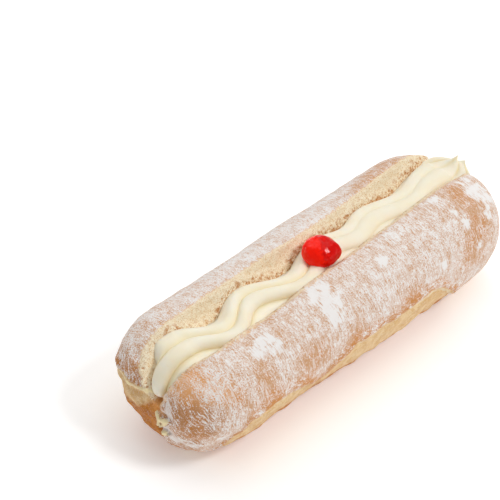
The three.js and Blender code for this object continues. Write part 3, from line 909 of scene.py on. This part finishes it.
jam = linked("jam_drop", bpy.data.meshes.new("jam_drop"))
form = bmesh.new()
bmesh.ops.create_uvsphere(form, u_segments=JAM_ROUND, v_segments=JAM_RINGS, radius=1)
lit_side_layer = form.verts.layers.float.new("clear")
for vert in form.verts:
    vert[lit_side_layer] = smooth(vert.co.dot(JAM_LIT_SIDE), *JAM_LIT_OVER)
    away = 2 * math.sin((math.atan2(vert.co.y, vert.co.x) - JAM_CORNER_TURN) / 2)
    bulge = 1 + JAM_CORNER * bell(away / JAM_CORNER_HALF) - JAM_FLAT * bell(away)
    point = Vector((JAM_RADIUS * bulge * vert.co.x, JAM_RADIUS * bulge * vert.co.y, JAM_RISE * vert.co.z))
    uneven = JAM_WOBBLE * ripple(point, JAM_WOBBLE_SIZE) + JAM_DIMPLE * ripple(point, JAM_DIMPLE_SIZE)
    point += vert.co * uneven
    vert.co = JAM_MIDDLE + point
form.to_mesh(jam.data)
form.free()
jam.data.shade_smooth()

JAM_LIT_RED = colour(255, 24, 0)
JAM_SHADED_AND_MOTTLED_RED = colour(198, 4, 2)
jam_material, shade = new_material("set_jam")
# painted light and shade: lighter red on the side where light comes through, darker red on the other, with
# darker mottles at random
clear = (shade.attribute("clear") + shade.mottle(2.2 * MM, detail=4.0) * 1.4).step(0.75, 1.35)
pitted = shade.node(
    "ShaderNodeBump",
    sockets={"Height": shade.mottle(1.2 * MM, detail=2.0), "Distance": 0.3 * MM, "Strength": 0.45},
)
dull = shade.mottle(1.1 * MM, detail=2.0).step(0.5, 0.6)
# painted light: the jam glows faintly red
finish_material(shade, {
    "Base Color": clear.mix(JAM_SHADED_AND_MOTTLED_RED, JAM_LIT_RED), "Roughness": dull * 0.1 + 0.06, "Normal": pitted,
    "Specular IOR Level": 0.18,
    "Emission Color": (1, 0.01, 0, 1), "Emission Strength": 0.1,
    "Subsurface Weight": 0.4, "Subsurface Radius": (1.0, 0.06, 0.03), "Subsurface Scale": 3 * MM,
})
jam.data.materials.append(jam_material)
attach(jam, "root")
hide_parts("jam")

# Floor, light and camera
# A pale table top under large soft lamps: the strongest stands high on the right, so the first end of the
# doughnut lies in soft shade. The camera looks down along the doughnut from the front left.

FLOOR_HALF = 3.0
floor = linked("floor", bpy.data.meshes.new("floor"))
form = bmesh.new()
bmesh.ops.create_grid(form, x_segments=1, y_segments=1, size=FLOOR_HALF)
form.to_mesh(floor.data)
form.free()
floor_material, shade = new_material("pale_table")
finish_material(shade, {
    "Base Color": colour(252, 252, 252), "Roughness": 0.9, "Specular IOR Level": 0.1,
    "Emission Color": (1, 1, 1, 1), "Emission Strength": 0.22,
})
floor.data.materials.append(floor_material)

SKY_STRENGTH = 0.36
world = bpy.data.worlds.new("studio")
world.use_nodes = True
world.node_tree.nodes["Background"].inputs["Color"].default_value = (1, 1, 1, 1)
world.node_tree.nodes["Background"].inputs["Strength"].default_value = SKY_STRENGTH
bpy.context.scene.world = world

# Name, place, width and watts of each lamp
LAMPS = [
    ("top_lamp", (0.6, 0.2, 1.8), 2.2, 15.0),
    ("back_lamp", (0.2, 1.6, 1.4), 1.6, 8.0),
    ("key_lamp", (0.45, -1.2, 1.55), 0.4, 12.9),
]
LAMP_AIM = Vector((0, 0, 20 * MM))
for name, place, width, watts in LAMPS:
    light = bpy.data.lights.new(name, "AREA")
    light.size = width
    light.energy = watts
    lamp = bpy.data.objects.new(name, light)
    lamp.location = place
    lamp.rotation_euler = (LAMP_AIM - Vector(place)).to_track_quat("-Z", "Y").to_euler()
    bpy.context.scene.collection.objects.link(lamp)

CAMERA_TURN = math.radians(45.82)
CAMERA_RISE = math.radians(38)
CAMERA_DISTANCE = 650 * MM
CAMERA_LENS = 112.3  # mm, on a sensor 36 mm wide
LOOK_AT = Vector((MIDDLE_X, 0, 26 * MM))
FRAME_RIGHT = -28.67 * MM  # how far the camera stands to the side of what it looks at, and above it
FRAME_UP = 18.36 * MM
right = Vector((math.cos(CAMERA_TURN), -math.sin(CAMERA_TURN), 0))
back = Vector((
    -math.sin(CAMERA_TURN) * math.cos(CAMERA_RISE),
    -math.cos(CAMERA_TURN) * math.cos(CAMERA_RISE),
    math.sin(CAMERA_RISE),
))
camera = bpy.data.objects.new("camera", bpy.data.cameras.new("camera"))
camera.data.lens = CAMERA_LENS
camera.location = LOOK_AT + CAMERA_DISTANCE * back + FRAME_RIGHT * right + FRAME_UP * back.cross(right)
camera.rotation_euler = (math.pi / 2 - CAMERA_RISE, 0, -CAMERA_TURN)
bpy.context.scene.collection.objects.link(camera)
bpy.context.scene.camera = camera
bpy.context.scene.view_settings.view_transform = "Standard"
